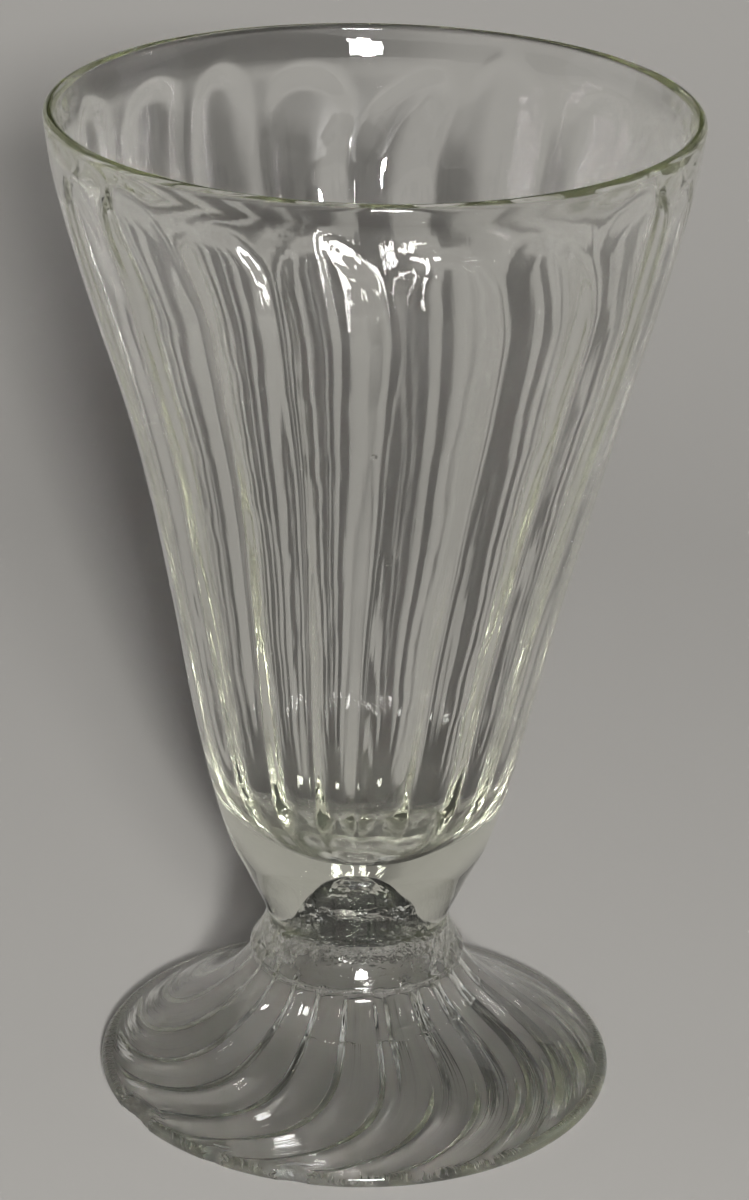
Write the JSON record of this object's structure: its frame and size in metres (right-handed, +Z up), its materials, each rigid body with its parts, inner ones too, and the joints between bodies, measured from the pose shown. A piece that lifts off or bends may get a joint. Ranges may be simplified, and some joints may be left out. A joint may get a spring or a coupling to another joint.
{
  "type": "footed soda-fountain glass",
  "caption": "Tall footed drinking glass: fluted tapering bowl with a rounded lip, short waist collar and spreading foot with swirled ribs underneath.",
  "frame": {"origin": "centre of the circle that the foot's resting ring stands on", "axes": "+Z up the glass's axis, from foot to rim; -Y is the front, which a viewer faces"},
  "size_m": [0.1032, 0.1032, 0.168],
  "materials": {
    "clear_glass": "fire-polished clear soda-lime glass, faint grey-green in its thick parts"
  },
  "bodies": {
    "root": {"bowl": "clear_glass", "waist_collar": "clear_glass", "foot": "clear_glass"}
  },
  "joints": []
}
